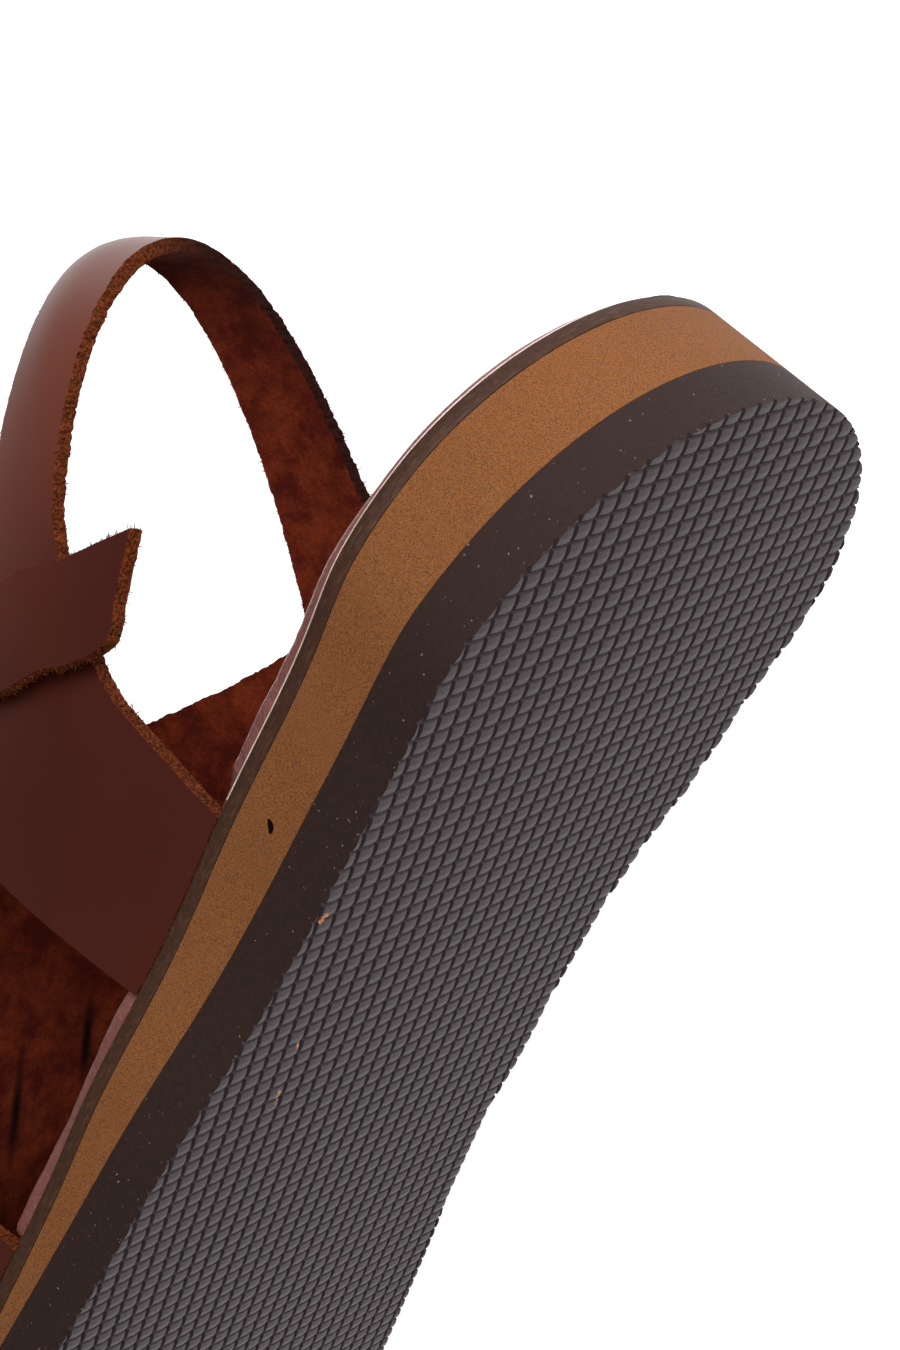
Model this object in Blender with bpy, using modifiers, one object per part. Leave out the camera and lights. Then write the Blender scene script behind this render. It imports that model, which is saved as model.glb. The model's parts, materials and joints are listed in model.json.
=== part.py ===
"""Left ankle strap sandal, lying on its medial side.

The shoe is drawn in its own frame: x from the back of the heel to the toe, y to the lateral
side, z up from the tread's plane. At the end the whole shoe is laid on its side.
"""
import math

import bmesh
import bpy
from mathutils import Matrix, Vector

MM = 0.001

# Driving sizes of the sole
LENGTH = 262 * MM
BALL_WIDTH = 87 * MM
OUTSOLE_THICKNESS = 7.4 * MM
WEDGE_HEEL_THICKNESS = 10.6 * MM
MIDSOLE_THICKNESS = 2.2 * MM
FOOTBED_THICKNESS = 2.8 * MM
TOE_SPRING = 8 * MM
SPRING_START = 0.70
MEDIAL_TAPER = math.radians(5.5)
PIECE_GAP = 0.3 * MM

# Driving sizes of the upper
LEATHER = 1.9 * MM
UPPER_HEIGHT = 51.5 * MM
HINGE_DEPTH = 10 * MM
BAND_SET_IN = 0.3 * MM
FOOTBED_CLEARANCE = 0.8 * MM
ANKLE_STRAP_WIDTH = 12.5 * MM
FLAP_LIFT = 2.6 * MM
STRAP_SEAT = 0.25 * MM

# Mesh fineness
SOLE_STATIONS = 44
SOLE_COLUMNS = 4
LAST_STATIONS = 46
LAST_COLUMNS = 40
STRAP_STATIONS = 44
ARC_STEP = math.radians(11)
SHARP_EDGE = math.radians(40)
CORNER_REACH = 0.48

# Densities, for the side that the empty shoe lies on
DENSITY = {"outsole": 700, "heel_wedge": 350, "midsole": 900, "footbed": 700, "upper": 950}

# Sole outline: along is a share of the length; centre and half are shares of the ball width
OUTLINE = [
    # along, centre, half
    (0.00, -0.004, 0.385),
    (0.08, 0.006, 0.390),
    (0.13, 0.016, 0.395),
    (0.18, 0.028, 0.381),
    (0.23, 0.036, 0.374),
    (0.27, 0.051, 0.360),
    (0.32, 0.060, 0.359),
    (0.40, 0.067, 0.384),
    (0.47, 0.066, 0.400),
    (0.60, 0.036, 0.458),
    (0.68, 0.014, 0.488),
    (0.75, -0.014, 0.500),
    (0.85, -0.060, 0.500),
    (1.00, -0.105, 0.500),
]
HEEL_ROUND = 0.130
TOE_ROUND = 0.245
TOE_POWER = 2.3

# Wedge: share of its thickness at the heel, along the length
WEDGE = [
    # along, thickness
    (0.000, 1.00),
    (0.065, 0.99),
    (0.118, 0.89),
    (0.164, 0.79),
    (0.256, 0.76),
    (0.298, 0.68),
    (0.340, 0.59),
    (0.408, 0.47),
    (0.462, 0.34),
    (0.550, 0.21),
    (0.650, 0.14),
    (1.000, 0.12),
]

# Top line of the last in side view: share of the length, and height above the sole's top as a
# share of the upper's height; it runs from the toes over the instep and shin to the heel strap
ROOF = [
    # along, height
    (0.838, 0.20),
    (0.786, 0.40),
    (0.729, 0.54),
    (0.653, 0.69),
    (0.576, 0.84),
    (0.500, 1.00),
    (0.458, 1.11),
    (0.416, 1.27),
    (0.370, 1.46),
    (0.305, 1.64),
    (0.237, 1.67),
    (0.162, 1.55),
    (0.132, 1.33),
    (0.095, 1.14),
    (0.053, 0.89),
    (0.015, 0.58),
]
HINGE_ALONG = 0.405

# Cut pattern of the upper in side view, corner by corner; radius is a share of its height
PATTERN = [
    # along, height, radius
    (0.253, -0.40, 0.00),
    (0.250, 0.73, 0.55),
    (0.075, 1.66, 0.00),
    (0.120, 1.715, 0.00),
    (0.321, 0.865, 0.11),
    (0.490, 1.36, 0.00),
    (0.860, 1.36, 0.00),
    (0.815, 0.60, 0.00),
    (0.757, 0.15, 0.10),
    (0.748, -0.40, 0.00),
    (0.483, -0.40, 0.00),
    (0.541, 0.72, 0.17),
    (0.391, 0.85, 0.17),
    (0.336, -0.40, 0.00),
]

# Ankle strap's middle line on the last: fan angle, angle round the section, share of the lift
ANKLE_STRAP = [
    # fan, round, lift
    (133.4, 25.5, 1.00),
    (128.5, 26.3, 0.80),
    (114.0, 28.6, 0.25),
    (101.0, 41.0, 0.00),
    (91.0, 62.0, 0.00),
    (83.0, 90.0, 0.00),
    (82.5, 112.0, 0.00),
    (87.6, 132.0, 0.00),
    (98.0, 147.0, 0.00),
    (109.0, 156.0, 0.00),
]
FLAP_SLANT = -0.50
FLAP_SHARE = 0.15

# The last's section: squarer at the toes than at the shin, fuller on the medial side behind
FOREFOOT_FULLNESS = 1.2
FULLEST_FAN = 30
PLAINEST_FAN = 100
MEDIAL_BULGE = 0.100
BULGE_FAN = 90
BULGE_RISE = 0.45
WALL_RISE = 0.7

# How squarely a face looks to the medial side for the shoe to lie on it
LYING_FACE = -0.7


def hermite(table, column, place):
    """Smooth value of a table's column at a place in its first column."""
    places = [row[0] for row in table]
    values = [row[column] for row in table]
    last = len(table) - 1
    if place <= places[0]:
        return values[0]
    if place >= places[last]:
        return values[last]
    i = max(k for k in range(last) if places[k] <= place)

    def slope(k):
        low = max(k - 1, 0)
        high = min(k + 1, last)
        return (values[high] - values[low]) / (places[high] - places[low])

    span = places[i + 1] - places[i]
    t = (place - places[i]) / span
    return (
        values[i] * (1 + 2 * t) * (1 - t) ** 2
        + slope(i) * span * t * (1 - t) ** 2
        + values[i + 1] * t * t * (3 - 2 * t)
        + slope(i + 1) * span * t * t * (t - 1)
    )


def ease(t):
    t = min(max(t, 0.0), 1.0)
    return t * t * (3 - 2 * t)


# The sole's shape

def end_round(along):
    """Share of the half width left where heel and toe are rounded off."""
    if along < HEEL_ROUND:
        return math.sqrt(max(0.0, 1 - (1 - along / HEEL_ROUND) ** 2))
    if along > 1 - TOE_ROUND:
        reach = (along - 1 + TOE_ROUND) / TOE_ROUND
        return max(0.0, 1 - reach ** TOE_POWER) ** (1 / TOE_POWER)
    return 1.0


def tread_height(x):
    return TOE_SPRING * max(0.0, (x / LENGTH - SPRING_START) / (1 - SPRING_START)) ** 2


def sole_sides(x, z, inset=0.0):
    """Lateral and medial edge of the sole at x and z, for an outline set in all round.

    The lateral wall is upright; the medial wall leans in, so that the shoe can lie on it.
    """
    along = min(max((x - inset) / (LENGTH - 2 * inset), 0.0), 1.0)
    centre = hermite(OUTLINE, 1, along) * BALL_WIDTH
    half = (hermite(OUTLINE, 2, along) * BALL_WIDTH - inset) * end_round(along)
    lean = math.tan(MEDIAL_TAPER) * (z - tread_height(x)) * end_round(along)
    return centre + half, centre - half + lean


def outsole_top(x):
    return tread_height(x) + OUTSOLE_THICKNESS


def wedge_top(x):
    return outsole_top(x) + hermite(WEDGE, 1, x / LENGTH) * WEDGE_HEEL_THICKNESS


def sole_top(x):
    return wedge_top(x) + MIDSOLE_THICKNESS


def footbed_top(x):
    return sole_top(x) + FOOTBED_THICKNESS


def sole_top_sides(x):
    return sole_sides(x, sole_top(x))


# The last, as a fan of arches about a line across the shoe under the waist

def hinge():
    return HINGE_ALONG * LENGTH, -HINGE_DEPTH


def side_point(along, height):
    """A point in side view from its shares of the length and of the upper's height."""
    x = along * LENGTH
    return x, sole_top(x) + height * UPPER_HEIGHT


def fan_of(x, z):
    across, down = hinge()
    return math.atan2(z - down, x - across), math.hypot(x - across, z - down)


def roof_table():
    rows = []
    for along, height in ROOF:
        rows.append(fan_of(*side_point(along, height)))
    return rows


ROOF_FAN = roof_table()


def arch_foot(fan):
    """Reach from the hinge line, along a ray of the fan, to just above the sole's top."""
    across, down = hinge()
    near, far = 0.0, 2 * LENGTH
    for _ in range(40):
        middle = (near + far) / 2
        x = across + middle * math.cos(fan)
        z = down + middle * math.sin(fan)
        if z < sole_top(x) + PIECE_GAP and abs(x - across) < LENGTH:
            near = middle
        else:
            far = middle
    return near


def last_point(fan, around, lift=0.0):
    """Point on the outside of the leather; around runs from the lateral to the medial edge."""
    across, down = hinge()
    foot = arch_foot(fan)
    reach = hermite(ROOF_FAN, 1, fan)
    degrees = math.degrees(fan)
    plainness = ease((degrees - FULLEST_FAN) / (PLAINEST_FAN - FULLEST_FAN))
    power = 2 / (2 + FOREFOOT_FULLNESS * (1 - plainness))
    share = abs(math.sin(around)) ** power
    side = math.copysign(abs(math.cos(around)) ** power, math.cos(around))
    rho = foot + (reach + lift - foot) * share
    at_foot = sole_top_sides(across + foot * math.cos(fan))
    at_point = sole_top_sides(across + rho * math.cos(fan))
    rise = ease(share / WALL_RISE)
    lateral = at_point[0] + (at_foot[0] - at_point[0]) * rise - BAND_SET_IN
    medial = at_point[1] + (at_foot[1] - at_point[1]) * rise + BAND_SET_IN
    if around <= math.pi / 2:
        half = lateral + lift
    else:
        swell = ease(degrees / BULGE_FAN) * ease(share / BULGE_RISE) * MEDIAL_BULGE * BALL_WIDTH
        half = -medial + swell + lift
    return Vector((across + rho * math.cos(fan), half * side, down + rho * math.sin(fan)))


# Building tools

def material(name, colour, roughness):
    made = bpy.data.materials.new(name)
    made.use_nodes = True
    shader = made.node_tree.nodes["Principled BSDF"]
    shader.inputs["Base Color"].default_value = (*colour, 1)
    shader.inputs["Roughness"].default_value = roughness
    shader.inputs["Metallic"].default_value = 0
    return made


def collection(name):
    made = bpy.data.collections.new(name)
    bpy.context.scene.collection.children.link(made)
    return made


def object_from(bm, name, home, look=None):
    mesh = bpy.data.meshes.new(name)
    bm.to_mesh(mesh)
    bm.free()
    if look:
        mesh.materials.append(look)
    made = bpy.data.objects.new(name, mesh)
    home.objects.link(made)
    return made


def place_grid(bm, columns, rows, place):
    """A grid whose vertices go where place(u, v) says, with u and v from 0 to 1."""
    bmesh.ops.create_grid(bm, x_segments=columns, y_segments=rows, size=0.5)
    for vert in bm.verts:
        vert.co = place(vert.co.x + 0.5, vert.co.y + 0.5)


def sole_layer(name, low, high, inset, home, look):
    """A layer of the sole between two heights that follow its length."""

    def place(u, v):
        x = inset + (LENGTH - 2 * inset) * (1 - math.cos(math.pi * u)) / 2
        z = low(x)
        lateral, medial = sole_sides(x, z, inset)
        return Vector((x, medial + (lateral - medial) * v, z))

    def raise_to_top(vert):
        x = vert.co.x
        lateral, medial = sole_sides(x, vert.co.z, inset)
        share = (vert.co.y - medial) / max(lateral - medial, PIECE_GAP)
        vert.co.z = high(x)
        lateral, medial = sole_sides(x, vert.co.z, inset)
        vert.co.y = medial + (lateral - medial) * share

    bm = bmesh.new()
    place_grid(bm, SOLE_STATIONS, SOLE_COLUMNS, place)
    bmesh.ops.remove_doubles(bm, verts=bm.verts, dist=0.0001)
    raised = bmesh.ops.extrude_face_region(bm, geom=bm.faces[:])
    for item in raised["geom"]:
        if isinstance(item, bmesh.types.BMVert):
            raise_to_top(item)
    bmesh.ops.recalc_face_normals(bm, faces=bm.faces)
    made = object_from(bm, name, home, look)
    made.data.shade_smooth()
    made.data.set_sharp_from_angle(angle=SHARP_EDGE)
    return made


def round_corners(corners):
    """Outline through corners (x, z, radius), with an arc at each corner that has a radius."""
    outline = []
    count = len(corners)
    for i, (x, z, radius) in enumerate(corners):
        corner = Vector((x, z))
        if radius <= 0:
            outline.append(corner)
            continue
        back = Vector(corners[i - 1][:2]) - corner
        ahead = Vector(corners[(i + 1) % count][:2]) - corner
        half = back.angle(ahead) / 2
        cut = radius / math.tan(half)
        cut = min(cut, CORNER_REACH * back.length, CORNER_REACH * ahead.length)
        radius = cut * math.tan(half)
        inward = (back.normalized() + ahead.normalized()).normalized()
        middle = corner + inward * radius / math.sin(half)
        start = corner + back.normalized() * cut - middle
        sweep = start.angle_signed(corner + ahead.normalized() * cut - middle)
        steps = max(2, math.ceil(abs(sweep) / ARC_STEP))
        for k in range(steps + 1):
            turn = Matrix.Rotation(-sweep * k / steps, 2)
            outline.append(middle + turn @ start)
    return outline


def pattern_cutter(home):
    """The upper's cut pattern in side view, as a prism right across the shoe."""
    corners = [(*side_point(along, height), radius * UPPER_HEIGHT) for along, height, radius in PATTERN]
    bm = bmesh.new()
    verts = [bm.verts.new((p.x, -BALL_WIDTH, p.y)) for p in round_corners(corners)]
    face = bm.faces.new(verts)
    pushed = bmesh.ops.extrude_face_region(bm, geom=[face])
    moved = [item for item in pushed["geom"] if isinstance(item, bmesh.types.BMVert)]
    bmesh.ops.translate(bm, verts=moved, vec=(0, 2 * BALL_WIDTH, 0))
    bmesh.ops.recalc_face_normals(bm, faces=bm.faces)
    cutter = object_from(bm, "pattern_cutter", home)
    cutter.hide_render = True
    cutter.display_type = "WIRE"
    return cutter


def face_outward(bm):
    """Turns an open sheet's faces away from the inside of the shoe."""
    across, _ = hinge()
    inside = Vector((across, 0, sole_top(across)))
    bm.normal_update()
    if sum(face.normal.dot(face.calc_center_median() - inside) for face in bm.faces) < 0:
        bmesh.ops.reverse_faces(bm, faces=bm.faces)


def thick_sheet(bm, name, home, look=None):
    """Leather of its full thickness under an open sheet that is its outside."""
    face_outward(bm)
    sheet = object_from(bm, name, home, look)
    wall = sheet.modifiers.new("leather", "SOLIDIFY")
    wall.thickness = LEATHER
    wall.offset = -1
    wall.use_even_offset = True
    return sheet


def ankle_strap(home):
    """Strip of leather over the instep; its lateral end stands free as a slanted flap."""

    def middle_at(t):
        place = t * (len(ANKLE_STRAP) - 1)
        rows = [(k, *row) for k, row in enumerate(ANKLE_STRAP)]
        fan = math.radians(hermite(rows, 1, place))
        around = math.radians(hermite(rows, 2, place))
        lift = LEATHER - STRAP_SEAT + FLAP_LIFT * hermite(rows, 3, place)
        return last_point(fan, around, lift), fan, around, lift

    def place(u, v):
        centre, fan, around, lift = middle_at(u)
        ahead = middle_at(min(u + 0.01, 1.0))[0] - middle_at(max(u - 0.01, 0.0))[0]
        step = math.radians(1)
        by_fan = last_point(fan + step, around, lift) - last_point(fan - step, around, lift)
        by_round = last_point(fan, around + step, lift) - last_point(fan, around - step, lift)
        outward = by_round.cross(by_fan).normalized()
        across = outward.cross(ahead).normalized()
        slant = FLAP_SLANT * ANKLE_STRAP_WIDTH * (v - 0.5) * (1 - ease(u / FLAP_SHARE))
        return centre + across * ANKLE_STRAP_WIDTH * (v - 0.5) + ahead.normalized() * slant

    bm = bmesh.new()
    place_grid(bm, STRAP_STATIONS, 4, place)
    return thick_sheet(bm, "ankle_strap_strip", home)


def upper(home, tools, look):
    """The last's outside as one sheet, cut to the pattern and joined to the ankle strap."""
    first = ROOF_FAN[0][0]
    final = ROOF_FAN[-1][0]

    def place(u, v):
        return last_point(first + (final - first) * u, math.pi * v)

    bm = bmesh.new()
    place_grid(bm, LAST_STATIONS, LAST_COLUMNS, place)
    made = thick_sheet(bm, "upper", home, look)
    cut = made.modifiers.new("cut_pattern", "BOOLEAN")
    cut.operation = "INTERSECT"
    cut.object = pattern_cutter(tools)
    join = made.modifiers.new("sewn_strap", "BOOLEAN")
    join.operation = "UNION"
    strap = ankle_strap(tools)
    strap.hide_render = True
    strap.display_type = "WIRE"
    join.object = strap
    made.data.shade_smooth()
    made.data.set_sharp_from_angle(angle=SHARP_EDGE)
    return made


# The side that the shoe lies on

def mesh_points(made):
    graph = bpy.context.evaluated_depsgraph_get()
    shown = made.evaluated_get(graph)
    bm = bmesh.new()
    bm.from_mesh(shown.to_mesh())
    shown.to_mesh_clear()
    bmesh.ops.triangulate(bm, faces=bm.faces)
    points = [vert.co.copy() for vert in bm.verts]
    volume = 0.0
    moment = Vector()
    for face in bm.faces:
        a, b, c = (vert.co for vert in face.verts)
        slice_volume = a.dot(b.cross(c)) / 6
        volume += slice_volume
        moment += slice_volume * (a + b + c) / 4
    bm.free()
    return points, volume, moment


def lying_matrix(pieces):
    """Turns the medial side that holds the centre of mass down on the floor."""
    points = []
    mass = 0.0
    moment = Vector()
    for made in pieces:
        found, volume, first_moment = mesh_points(made)
        points += found
        mass += DENSITY[made.name] * volume
        moment += DENSITY[made.name] * first_moment
    centre = moment / mass
    bm = bmesh.new()
    for point in points:
        bm.verts.new(point)
    bmesh.ops.convex_hull(bm, input=bm.verts[:])
    bm.normal_update()
    best = None
    for face in bm.faces:
        if face.normal.y > LYING_FACE:
            continue
        drop = (face.verts[0].co - centre).dot(face.normal)
        seat = centre + face.normal * drop
        inside = True
        for loop in face.loops:
            edge = loop.link_loop_next.vert.co - loop.vert.co
            if edge.cross(seat - loop.vert.co).dot(face.normal) < 0:
                inside = False
        if inside:
            best = face.normal.copy()
    bm.free()
    up = -best
    ahead = (Vector((1, 0, 0)) - up * up.x).normalized()
    turn = Matrix((ahead, up.cross(ahead), up))
    turned = [turn @ point for point in points]
    low = Vector([min(point[k] for point in turned) for k in range(3)])
    high = Vector([max(point[k] for point in turned) for k in range(3)])
    middle = (low + high) / 2
    return Matrix.Translation((-middle.x, -middle.y, -low.z)) @ turn.to_4x4()


def build():
    for old in list(bpy.data.objects):
        bpy.data.objects.remove(old)
    home = collection("ankle_strap_sandal")
    tools = collection("cutters")
    rubber = material("brown_rubber", (0.045, 0.030, 0.026), 0.75)
    foam = material("tan_foam", (0.38, 0.18, 0.06), 0.85)
    board = material("brown_board", (0.13, 0.075, 0.045), 0.7)
    lining = material("footbed_leather", (0.20, 0.055, 0.035), 0.45)
    leather = material("smooth_leather", (0.11, 0.028, 0.016), 0.4)
    bed_inset = BAND_SET_IN + LEATHER + FOOTBED_CLEARANCE
    pieces = [
        sole_layer("outsole", tread_height, outsole_top, 0, home, rubber),
        sole_layer("heel_wedge", lambda x: outsole_top(x) + PIECE_GAP, wedge_top, 0, home, foam),
        sole_layer("midsole", lambda x: wedge_top(x) + PIECE_GAP, sole_top, 0, home, board),
        sole_layer("footbed", lambda x: sole_top(x) + PIECE_GAP, footbed_top, bed_inset, home, lining),
        upper(home, tools, leather),
    ]
    frame = bpy.data.objects.new("sandal_frame", None)
    home.objects.link(frame)
    frame.matrix_world = lying_matrix(pieces)
    for made in pieces:
        made.parent = frame
    for tool in tools.objects:
        tool.parent = frame


build()
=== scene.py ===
import functools
import json
import math
import random

import bmesh
import bpy
from mathutils import Matrix, Vector, noise


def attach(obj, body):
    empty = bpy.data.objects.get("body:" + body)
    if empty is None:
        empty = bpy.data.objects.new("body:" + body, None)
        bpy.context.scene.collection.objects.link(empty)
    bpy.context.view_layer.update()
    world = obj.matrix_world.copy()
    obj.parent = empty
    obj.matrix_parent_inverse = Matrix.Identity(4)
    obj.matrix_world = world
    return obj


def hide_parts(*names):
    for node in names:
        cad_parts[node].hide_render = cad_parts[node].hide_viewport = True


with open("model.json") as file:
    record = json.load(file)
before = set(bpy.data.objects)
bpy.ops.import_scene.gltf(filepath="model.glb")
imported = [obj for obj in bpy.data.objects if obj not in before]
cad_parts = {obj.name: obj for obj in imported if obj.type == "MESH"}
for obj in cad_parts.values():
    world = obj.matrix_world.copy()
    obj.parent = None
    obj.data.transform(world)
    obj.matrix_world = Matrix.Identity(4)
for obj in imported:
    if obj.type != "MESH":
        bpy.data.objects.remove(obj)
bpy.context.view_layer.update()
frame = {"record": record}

# Where the shoe lies
# Every piece is drawn standing: x from the heel's back to the toe, y to the lateral side and z up
# from the tread. Two places on the tread, which the record states, carry it to where it lies.
MM = 0.001
TREAD_HEEL = Vector((36, 1, 0)) * MM
TREAD_FOREFOOT = Vector((165, 3, 0)) * MM


def shoe_to_floor():
    places = {mount["name"]: mount for mount in frame["record"]["mounts"]}
    heel = Vector(places["tread_heel"]["pos_m"])
    ahead = Vector(places["tread_forefoot"]["pos_m"]) - heel
    up = -Vector(places["tread_heel"]["axis"]).normalized()
    ahead = (ahead - up * ahead.dot(up)).normalized()
    drawn = TREAD_FOREFOOT - TREAD_HEEL
    skew = math.atan2(drawn.y, drawn.x)
    toeward = ahead * math.cos(skew) - up.cross(ahead) * math.sin(skew)
    turn = Matrix((toeward, up.cross(toeward), up)).transposed()
    return Matrix.Translation(heel - turn @ TREAD_HEEL) @ turn.to_4x4()


SHOE = shoe_to_floor()

# Camera
# It keeps the photograph's angle to the shoe: close to the heel, on the lateral side and below
# the sole's plane, rolled so that the toe runs out of the picture at the lower left.
CAMERA_PLACE = Vector((-89.308, 226.694, -115.908)) * MM
CAMERA_RIGHT = Vector((-0.413318, -0.649352, -0.638366))
CAMERA_DOWN = Vector((0.775147, 0.116967, -0.620859))
CAMERA_AHEAD = Vector((0.477823, -0.751440, 0.454999))
LENS = 66.67


def camera_matrix():
    turn = Matrix((CAMERA_RIGHT, -CAMERA_DOWN, -CAMERA_AHEAD)).transposed()
    return SHOE @ Matrix.Translation(CAMERA_PLACE) @ turn.to_4x4()


lens = bpy.data.cameras.new("photo_camera")
lens.lens = LENS
lens.sensor_width = 36
lens.sensor_fit = "AUTO"
lens.clip_start = 0.01
camera = bpy.data.objects.new("photo_camera", lens)
camera.matrix_world = camera_matrix()
bpy.context.scene.collection.objects.link(camera)
bpy.context.scene.camera = camera

# Outsole
# Rubber sheet moulded with a fine grid of crowned pads, dark aubergine brown. The sole is cut out
# of the sheet, so pads and grooves run straight out at its edge; its wall is the cut rubber.
LENGTH = 262 * MM
BALL_WIDTH = 87 * MM
OUTSOLE_THICKNESS = 7.4 * MM
TOE_SPRING = 8 * MM
SPRING_START = 0.70
MEDIAL_TAPER = math.radians(5.5)
HEEL_ROUND = 0.130
TOE_ROUND = 0.245
TOE_POWER = 2.3
PAD_PITCH = 2.52 * MM
PAD_STRETCH = 1.04
PAD_TURN = math.radians(-11)
GROOVE_DEPTH = 0.60 * MM
GROOVE_SHARE = 0.13
PAD_CROWN = 0.20 * MM
SHEET_LENGTH = 1.1 * LENGTH
SHEET_WIDTH = 0.6 * LENGTH
SHEET_TOP = 30 * MM
SHEET_MARGIN = 4 * PAD_PITCH
KNIFE_DEPTH = 5 * MM
MERGE_DISTANCE = 0.02 * MM
SHARP_EDGE = math.radians(40)
PAD_EDGE = math.radians(12)
OUTLINE = [
    # along, centre, half: shares of the length and of the ball width
    (0.00, -0.004, 0.385),
    (0.08, 0.006, 0.390),
    (0.13, 0.016, 0.395),
    (0.18, 0.028, 0.381),
    (0.23, 0.036, 0.374),
    (0.27, 0.051, 0.360),
    (0.32, 0.060, 0.359),
    (0.40, 0.067, 0.384),
    (0.47, 0.066, 0.400),
    (0.60, 0.036, 0.458),
    (0.68, 0.014, 0.488),
    (0.75, -0.014, 0.500),
    (0.85, -0.060, 0.500),
    (1.00, -0.105, 0.500),
]


def hermite(table, column, place):
    """Smooth value of a table's column at a place in its first column."""
    last = len(table) - 1
    if place <= table[0][0]:
        return table[0][column]
    if place >= table[last][0]:
        return table[last][column]
    i = max(k for k in range(last) if table[k][0] <= place)

    def slope(k):
        low = table[max(k - 1, 0)]
        high = table[min(k + 1, last)]
        return (high[column] - low[column]) / (high[0] - low[0])

    span = table[i + 1][0] - table[i][0]
    t = (place - table[i][0]) / span
    return (
        table[i][column] * (1 + 2 * t) * (1 - t) ** 2
        + slope(i) * span * t * (1 - t) ** 2
        + table[i + 1][column] * t * t * (3 - 2 * t)
        + slope(i + 1) * span * t * t * (t - 1)
    )


def end_round(along):
    """Share of the half width left where heel and toe are rounded off."""
    if along < HEEL_ROUND:
        return math.sqrt(max(0.0, 1 - (1 - along / HEEL_ROUND) ** 2))
    if along > 1 - TOE_ROUND:
        reach = (along - 1 + TOE_ROUND) / TOE_ROUND
        return max(0.0, 1 - reach ** TOE_POWER) ** (1 / TOE_POWER)
    return 1.0


def tread_height(x):
    return TOE_SPRING * max(0.0, (x / LENGTH - SPRING_START) / (1 - SPRING_START)) ** 2


@functools.lru_cache(None)
def outline_at(x, inset):
    """Middle and half width of the sole at x, and the share that the end rounding leaves."""
    along = min(max((x - inset) / (LENGTH - 2 * inset), 0.0), 1.0)
    left = end_round(along)
    half = (hermite(OUTLINE, 2, along) * BALL_WIDTH - inset) * left
    return hermite(OUTLINE, 1, along) * BALL_WIDTH, half, left


def sole_sides(x, z, inset=0.0):
    """Lateral and medial edge of the sole at x and z; the medial wall leans in."""
    centre, half, left = outline_at(x, inset)
    lean = math.tan(MEDIAL_TAPER) * (z - tread_height(x)) * left
    return centre + half, centre - half + lean


def outsole_top(x):
    return tread_height(x) + OUTSOLE_THICKNESS


def linear(code):
    """Linear colour from an sRGB hex code."""
    parts = [int(code[i:i + 2], 16) / 255 for i in (1, 3, 5)]
    return [p / 12.92 if p <= 0.04045 else ((p + 0.055) / 1.055) ** 2.4 for p in parts] + [1]


def new_material(name):
    made = bpy.data.materials.new(name)
    made.use_nodes = True
    made.node_tree.nodes.clear()
    return made


def add_node(look, kind, links=None, **settings):
    """Adds a node; links gives each socket a value or another node's output."""
    made = look.node_tree.nodes.new("ShaderNode" + kind)
    for name, value in settings.items():
        setattr(made, name, value)
    for name, value in (links or {}).items():
        if isinstance(value, bpy.types.NodeSocket):
            look.node_tree.links.new(value, made.inputs[name])
        else:
            made.inputs[name].default_value = value
    return made


def shoe_millimetres(look, stretch=(1, 1, 1)):
    """Coordinates in the standing shoe's frame, in millimetres, drawn out along its axes."""
    place, turn, _ = SHOE.decompose()
    where = add_node(look, "TexCoord")
    return add_node(look, "Mapping", {
        "Vector": where.outputs["Object"],
        "Location": place,
        "Rotation": turn.to_euler(),
        "Scale": [MM * share for share in stretch],
    }, vector_type="TEXTURE").outputs[0]


def place_grid(bm, columns, rows, place):
    """A grid whose vertices go where place(u, v) says, with u and v from 0 to 1."""
    bmesh.ops.create_grid(bm, x_segments=columns, y_segments=rows, size=0.5)
    for vert in bm.verts:
        vert.co = place(round(vert.co.x + 0.5, 6), round(vert.co.y + 0.5, 6))


def sole_solid(low, high, inset=0.0, stations=180, columns=6):
    """Closed layer of the sole between two heights that follow its length."""
    bm = bmesh.new()

    def place(u, v):
        x = inset + (LENGTH - 2 * inset) * (1 - math.cos(math.pi * u)) / 2
        lateral, medial = sole_sides(x, low(x), inset)
        return Vector((x, medial + (lateral - medial) * v, low(x)))

    place_grid(bm, stations, columns, place)
    bmesh.ops.remove_doubles(bm, verts=bm.verts, dist=MERGE_DISTANCE)
    raised = bmesh.ops.extrude_face_region(bm, geom=bm.faces[:])
    for vert in [item for item in raised["geom"] if isinstance(item, bmesh.types.BMVert)]:
        lateral, medial = sole_sides(vert.co.x, vert.co.z, inset)
        share = (vert.co.y - medial) / max(lateral - medial, 0.1 * MM)
        vert.co.z = high(vert.co.x)
        lateral, medial = sole_sides(vert.co.x, vert.co.z, inset)
        vert.co.y = medial + (lateral - medial) * share
    bmesh.ops.recalc_face_normals(bm, faces=bm.faces)
    return bm


def object_from(bm, name, looks):
    """A new object with the shape's mesh still in the standing shoe's frame."""
    mesh = bpy.data.meshes.new(name)
    bm.to_mesh(mesh)
    bm.free()
    for look in looks:
        mesh.materials.append(look)
    made = bpy.data.objects.new(name, mesh)
    bpy.context.scene.collection.objects.link(made)
    return made


def apply_modifiers(piece):
    graph = bpy.context.evaluated_depsgraph_get()
    mesh = bpy.data.meshes.new_from_object(piece.evaluated_get(graph))
    piece.modifiers.clear()
    piece.data = mesh


def cut_to(piece, cutter, operation="INTERSECT"):
    """Cuts a piece with a cutter, whose faces bring their own material."""
    cut = piece.modifiers.new("cut", "BOOLEAN")
    cut.operation = operation
    cut.solver = "EXACT"
    cut.material_mode = "TRANSFER"
    cut.object = cutter
    apply_modifiers(piece)
    bpy.data.objects.remove(cutter)


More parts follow.
